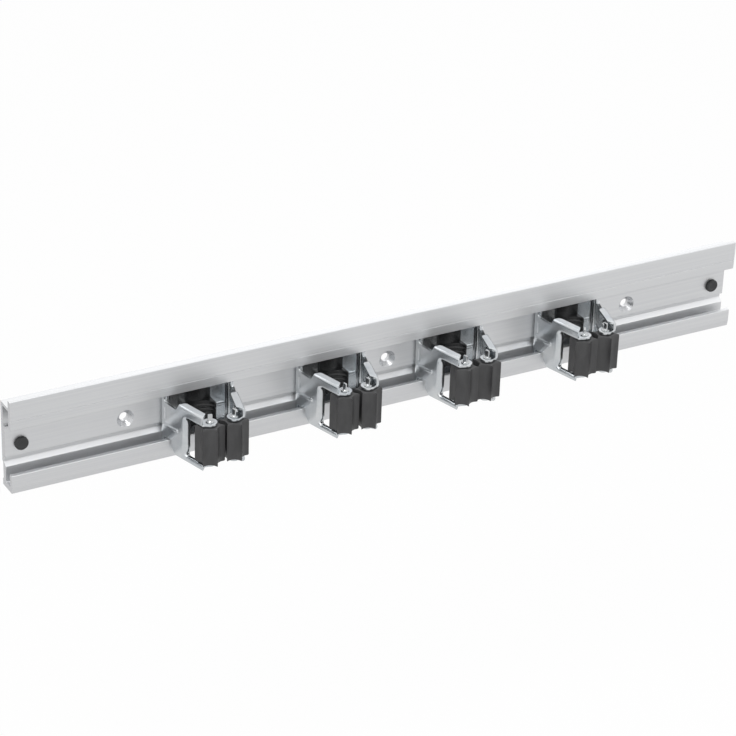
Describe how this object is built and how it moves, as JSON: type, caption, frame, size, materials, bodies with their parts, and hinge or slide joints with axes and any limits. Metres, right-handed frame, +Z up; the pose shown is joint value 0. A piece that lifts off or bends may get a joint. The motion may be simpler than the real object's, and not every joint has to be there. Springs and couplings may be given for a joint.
{
  "type": "tool hanger rail",
  "caption": "Aluminium wall rail with sliding holders: sprung steel wings carry fluted rubber rollers that grip a tool's handle against a ribbed pad.",
  "frame": {"origin": "centre of the middle screw hole on the rail's back face, which lies on the wall", "axes": "+X along the rail to the right as seen from the front, -Y out from the wall, +Z up"},
  "size_m": [0.5, 0.0487, 0.06],
  "materials": {
    "aluminium_rail": "extruded and satin anodised",
    "black_plastic": "moulded polyamide",
    "zinc_plated_steel": "pressed sheet, bright zinc plated",
    "bright_steel": "drawn rod, zinc plated",
    "spring_steel": "drawn wire, lightly oiled",
    "roller_rubber": "moulded, satin dark grey",
    "pad_rubber": "moulded, ribbed, black"
  },
  "bodies": {
    "rail": {"rail": "aluminium_rail", "left_end_stop": "black_plastic", "right_end_stop": "black_plastic"},
    "holder_1": {"carrier_1": "zinc_plated_steel", "pad_1": "pad_rubber", "left_pin_1": "bright_steel", "right_pin_1": "bright_steel", "left_spring_1": "spring_steel", "right_spring_1": "spring_steel"},
    "left_wing_1": {"left_wing_1": "zinc_plated_steel"},
    "left_roller_1": {"left_roller_1": "roller_rubber", "left_axle_1": "bright_steel"},
    "right_wing_1": {"right_wing_1": "zinc_plated_steel"},
    "right_roller_1": {"right_roller_1": "roller_rubber", "right_axle_1": "bright_steel"},
    "holder_2": {"carrier_2": "zinc_plated_steel", "pad_2": "pad_rubber", "left_pin_2": "bright_steel", "right_pin_2": "bright_steel", "left_spring_2": "spring_steel", "right_spring_2": "spring_steel"},
    "left_wing_2": {"left_wing_2": "zinc_plated_steel"},
    "left_roller_2": {"left_roller_2": "roller_rubber", "left_axle_2": "bright_steel"},
    "right_wing_2": {"right_wing_2": "zinc_plated_steel"},
    "right_roller_2": {"right_roller_2": "roller_rubber", "right_axle_2": "bright_steel"},
    "holder_3": {"carrier_3": "zinc_plated_steel", "pad_3": "pad_rubber", "left_pin_3": "bright_steel", "right_pin_3": "bright_steel", "left_spring_3": "spring_steel", "right_spring_3": "spring_steel"},
    "left_wing_3": {"left_wing_3": "zinc_plated_steel"},
    "left_roller_3": {"left_roller_3": "roller_rubber", "left_axle_3": "bright_steel"},
    "right_wing_3": {"right_wing_3": "zinc_plated_steel"},
    "right_roller_3": {"right_roller_3": "roller_rubber", "right_axle_3": "bright_steel"},
    "holder_4": {"carrier_4": "zinc_plated_steel", "pad_4": "pad_rubber", "left_pin_4": "bright_steel", "right_pin_4": "bright_steel", "left_spring_4": "spring_steel", "right_spring_4": "spring_steel"},
    "left_wing_4": {"left_wing_4": "zinc_plated_steel"},
    "left_roller_4": {"left_roller_4": "roller_rubber", "left_axle_4": "bright_steel"},
    "right_wing_4": {"right_wing_4": "zinc_plated_steel"},
    "right_roller_4": {"right_roller_4": "roller_rubber", "right_axle_4": "bright_steel"}
  },
  "joints": [
    {"name": "holder_1_slide", "type": "slide", "parent": "rail", "child": "holder_1", "axis": [1, 0, 0], "range_m": [-0.083, 0.041]},
    {"name": "left_wing_1_hinge", "type": "hinge", "parent": "holder_1", "child": "left_wing_1", "pos_m": [-0.1502, -0.0075, 0], "axis": [0, 0, -1], "range_deg": [0, 30], "stiffness_Nm_per_rad": 0.8, "springref_deg": -34.38, "deforming": ["left_spring_1"]},
    {"name": "left_roller_1_spin", "type": "hinge", "parent": "left_wing_1", "child": "left_roller_1", "pos_m": [-0.13695, -0.03995, 0], "axis": [0, 0, 1], "continuous": true},
    {"name": "right_wing_1_hinge", "type": "hinge", "parent": "holder_1", "child": "right_wing_1", "pos_m": [-0.1082, -0.0075, 0], "axis": [0, 0, 1], "range_deg": [0, 30], "stiffness_Nm_per_rad": 0.8, "springref_deg": -34.38, "deforming": ["right_spring_1"]},
    {"name": "right_roller_1_spin", "type": "hinge", "parent": "right_wing_1", "child": "right_roller_1", "pos_m": [-0.12145, -0.03995, 0], "axis": [0, 0, 1], "continuous": true},
    {"name": "holder_2_slide", "type": "slide", "parent": "rail", "child": "holder_2", "axis": [1, 0, 0], "range_m": [-0.041, 0.035]},
    {"name": "left_wing_2_hinge", "type": "hinge", "parent": "holder_2", "child": "left_wing_2", "pos_m": [-0.0615, -0.0075, 0], "axis": [0, 0, -1], "range_deg": [0, 30], "stiffness_Nm_per_rad": 0.8, "springref_deg": -34.38, "deforming": ["left_spring_2"]},
    {"name": "left_roller_2_spin", "type": "hinge", "parent": "left_wing_2", "child": "left_roller_2", "pos_m": [-0.04825, -0.03995, 0], "axis": [0, 0, 1], "continuous": true},
    {"name": "right_wing_2_hinge", "type": "hinge", "parent": "holder_2", "child": "right_wing_2", "pos_m": [-0.0195, -0.0075, 0], "axis": [0, 0, 1], "range_deg": [0, 30], "stiffness_Nm_per_rad": 0.8, "springref_deg": -34.38, "deforming": ["right_spring_2"]},
    {"name": "right_roller_2_spin", "type": "hinge", "parent": "right_wing_2", "child": "right_roller_2", "pos_m": [-0.03275, -0.03995, 0], "axis": [0, 0, 1], "continuous": true},
    {"name": "holder_3_slide", "type": "slide", "parent": "rail", "child": "holder_3", "axis": [1, 0, 0], "range_m": [-0.035, 0.038]},
    {"name": "left_wing_3_hinge", "type": "hinge", "parent": "holder_3", "child": "left_wing_3", "pos_m": [0.0212, -0.0075, 0], "axis": [0, 0, -1], "range_deg": [0, 30], "stiffness_Nm_per_rad": 0.8, "springref_deg": -34.38, "deforming": ["left_spring_3"]},
    {"name": "left_roller_3_spin", "type": "hinge", "parent": "left_wing_3", "child": "left_roller_3", "pos_m": [0.03445, -0.03995, 0], "axis": [0, 0, 1], "continuous": true},
    {"name": "right_wing_3_hinge", "type": "hinge", "parent": "holder_3", "child": "right_wing_3", "pos_m": [0.0632, -0.0075, 0], "axis": [0, 0, 1], "range_deg": [0, 30], "stiffness_Nm_per_rad": 0.8, "springref_deg": -34.38, "deforming": ["right_spring_3"]},
    {"name": "right_roller_3_spin", "type": "hinge", "parent": "right_wing_3", "child": "right_roller_3", "pos_m": [0.04995, -0.03995, 0], "axis": [0, 0, 1], "continuous": true},
    {"name": "holder_4_slide", "type": "slide", "parent": "rail", "child": "holder_4", "axis": [1, 0, 0], "range_m": [-0.038, 0.084]},
    {"name": "left_wing_4_hinge", "type": "hinge", "parent": "holder_4", "child": "left_wing_4", "pos_m": [0.1069, -0.0075, 0], "axis": [0, 0, -1], "range_deg": [0, 30], "stiffness_Nm_per_rad": 0.8, "springref_deg": -34.38, "deforming": ["left_spring_4"]},
    {"name": "left_roller_4_spin", "type": "hinge", "parent": "left_wing_4", "child": "left_roller_4", "pos_m": [0.12015, -0.03995, 0], "axis": [0, 0, 1], "continuous": true},
    {"name": "right_wing_4_hinge", "type": "hinge", "parent": "holder_4", "child": "right_wing_4", "pos_m": [0.1489, -0.0075, 0], "axis": [0, 0, 1], "range_deg": [0, 30], "stiffness_Nm_per_rad": 0.8, "springref_deg": -34.38, "deforming": ["right_spring_4"]},
    {"name": "right_roller_4_spin", "type": "hinge", "parent": "right_wing_4", "child": "right_roller_4", "pos_m": [0.13565, -0.03995, 0], "axis": [0, 0, 1], "continuous": true}
  ]
}
